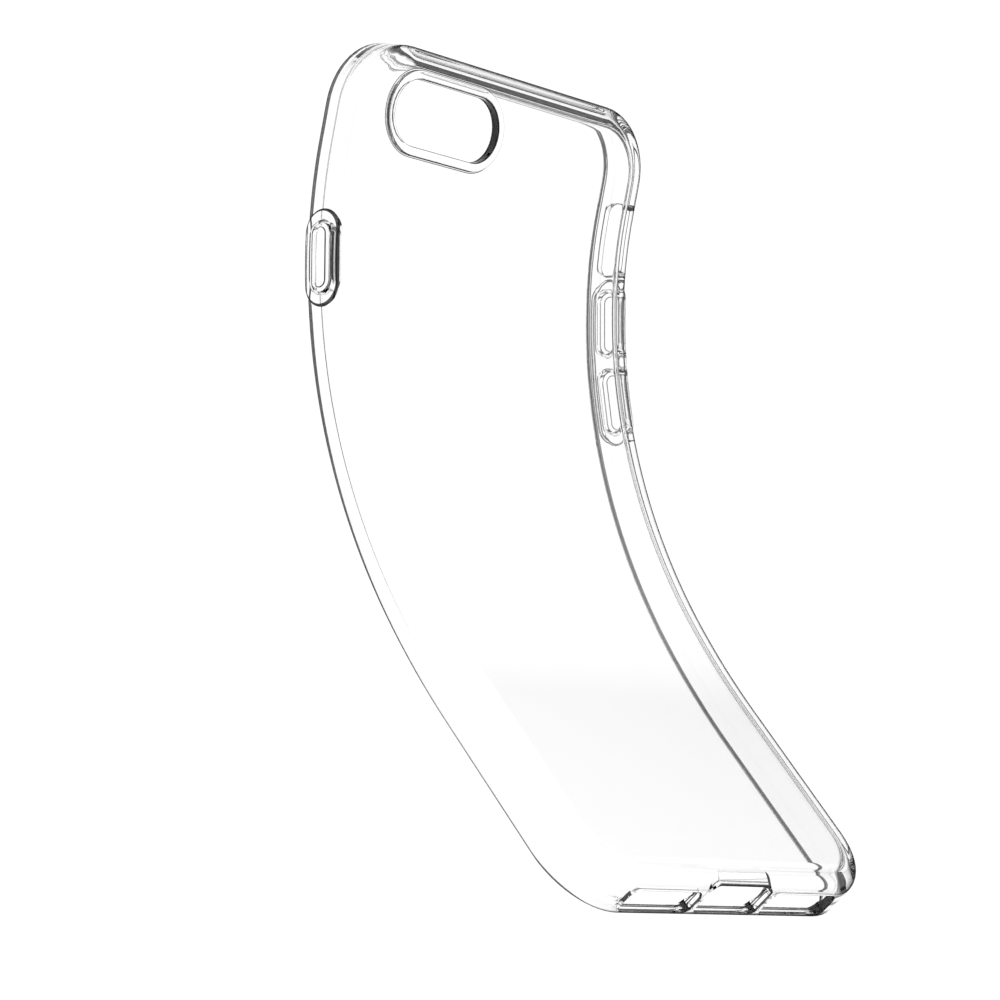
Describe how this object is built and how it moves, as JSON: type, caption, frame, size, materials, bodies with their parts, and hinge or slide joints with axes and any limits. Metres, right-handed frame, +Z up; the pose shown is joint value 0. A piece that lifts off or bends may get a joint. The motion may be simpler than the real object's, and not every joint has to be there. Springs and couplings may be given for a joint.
{
  "type": "phone case",
  "caption": "Clear soft moulded case for a slab phone, peeled back in a curl, with camera, port, speaker and switch openings and pressable button covers.",
  "frame": {"origin": "centre of the bounding box's base: the point on the table under the middle of the case as it lies on its curved front rim", "axes": "+X across the case to the viewer's right when looking at its back with the top end up, +Y along the case from its bottom (port) end towards its top (camera) end, +Z up, out of the back"},
  "size_m": [0.0716, 0.1392, 0.0318],
  "materials": {
    "clear_tpu": "clear, colourless, glossy soft TPU"
  },
  "bodies": {
    "bottom_band": {"back_panel_1": "clear_tpu", "left_wall_1": "clear_tpu", "right_wall_1": "clear_tpu", "bottom_wall": "clear_tpu", "bottom_left_corner": "clear_tpu", "bottom_right_corner": "clear_tpu"},
    "band_2": {"back_panel_2": "clear_tpu", "left_wall_2": "clear_tpu", "right_wall_2": "clear_tpu"},
    "band_3": {"back_panel_3": "clear_tpu", "left_wall_3": "clear_tpu", "right_wall_3": "clear_tpu"},
    "band_4": {"back_panel_4": "clear_tpu", "left_wall_4": "clear_tpu", "right_wall_4": "clear_tpu"},
    "band_5": {"back_panel_5": "clear_tpu", "left_wall_5": "clear_tpu", "right_wall_5": "clear_tpu"},
    "band_6": {"back_panel_6": "clear_tpu", "left_wall_6": "clear_tpu", "right_wall_6": "clear_tpu"},
    "top_band": {"back_panel_7": "clear_tpu", "left_wall_7": "clear_tpu", "right_wall_7": "clear_tpu", "top_wall": "clear_tpu", "top_left_corner": "clear_tpu", "top_right_corner": "clear_tpu", "camera_guard_ring": "clear_tpu"},
    "power_button": {"power_button_cap": "clear_tpu"},
    "volume_up_button": {"volume_up_cap": "clear_tpu"},
    "volume_down_button": {"volume_down_cap": "clear_tpu"}
  },
  "joints": [
    {"name": "curl_1", "type": "hinge", "parent": "bottom_band", "child": "band_2", "pos_m": [0, -0.03349, 0.01338], "axis": [1, 0, 0], "range_deg": [-3.77, 0], "stiffness_Nm_per_rad": 0.3, "deforming": ["left_wall_2", "right_wall_2"]},
    {"name": "curl_2", "type": "hinge", "parent": "band_2", "child": "band_3", "pos_m": [0, -0.01591, 0.00908], "axis": [1, 0, 0], "range_deg": [-8.77, 0], "stiffness_Nm_per_rad": 0.3, "deforming": ["left_wall_3", "right_wall_3"]},
    {"name": "curl_3", "type": "hinge", "parent": "band_3", "child": "band_4", "pos_m": [0, 0.00214, 0.0075], "axis": [1, 0, 0], "range_deg": [-9.8, 0], "stiffness_Nm_per_rad": 0.3, "deforming": ["left_wall_4", "right_wall_4"]},
    {"name": "curl_4", "type": "hinge", "parent": "band_4", "child": "band_5", "pos_m": [0, 0.01819, 0.00885], "axis": [1, 0, 0], "range_deg": [-8.97, 0], "stiffness_Nm_per_rad": 0.3, "deforming": ["left_wall_5", "right_wall_5"]},
    {"name": "curl_5", "type": "hinge", "parent": "band_5", "child": "band_6", "pos_m": [0, 0.03112, 0.01201], "axis": [1, 0, 0], "range_deg": [-8.77, 0], "stiffness_Nm_per_rad": 0.3, "deforming": ["left_wall_6", "right_wall_6"]},
    {"name": "curl_6", "type": "hinge", "parent": "band_6", "child": "top_band", "pos_m": [0, 0.04323, 0.01703], "axis": [1, 0, 0], "range_deg": [-13.02, 0], "stiffness_Nm_per_rad": 0.3, "deforming": ["left_wall_7", "right_wall_7"]},
    {"name": "power_press", "type": "slide", "parent": "band_6", "child": "power_button", "axis": [1, 0, 0], "range_m": [0, 0.0004], "stiffness_N_per_m": 900},
    {"name": "volume_up_press", "type": "slide", "parent": "band_6", "child": "volume_up_button", "axis": [-1, 0, 0], "range_m": [0, 0.0004], "stiffness_N_per_m": 900},
    {"name": "volume_down_press", "type": "slide", "parent": "band_5", "child": "volume_down_button", "axis": [-1, 0, 0], "range_m": [0, 0.0004], "stiffness_N_per_m": 900}
  ],
  "couplings": [
    {"joint": "curl_1", "follows": "curl_3", "ratio": 0.38265},
    {"joint": "curl_2", "follows": "curl_3", "ratio": 0.89286},
    {"joint": "curl_4", "follows": "curl_3", "ratio": 0.91327},
    {"joint": "curl_5", "follows": "curl_3", "ratio": 0.89286},
    {"joint": "curl_6", "follows": "curl_3", "ratio": 1.3265}
  ]
}
